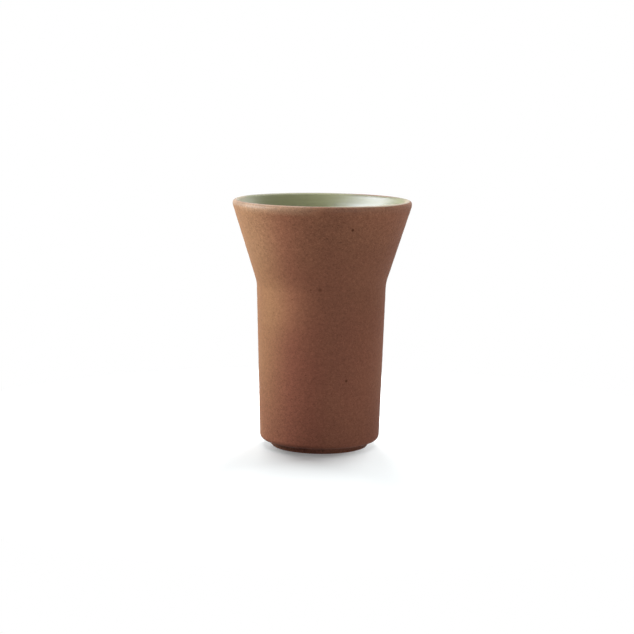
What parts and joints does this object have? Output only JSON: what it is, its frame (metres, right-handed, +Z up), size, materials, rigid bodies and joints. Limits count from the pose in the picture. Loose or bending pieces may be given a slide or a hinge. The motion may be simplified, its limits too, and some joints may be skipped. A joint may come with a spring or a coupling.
{
  "type": "cup",
  "caption": "Handleless stoneware cup with a tapering barrel, a flared mouth and a foot ring, bare clay outside and glazed inside, for holding a drink.",
  "frame": {"origin": "centre of the foot ring, on the surface that the cup stands on", "axes": "+Z up along the cup's axis, towards the mouth; the cup is round, so X and Y are any two directions across it"},
  "size_m": [0.0886, 0.0886, 0.1235],
  "materials": {
    "bare_stoneware": "matt, sandy, unglazed red-brown stoneware",
    "green_glaze": "satin, pale sage green glaze"
  },
  "bodies": {
    "root": {"stoneware_body": "bare_stoneware", "glaze_lining": "green_glaze"}
  },
  "joints": []
}
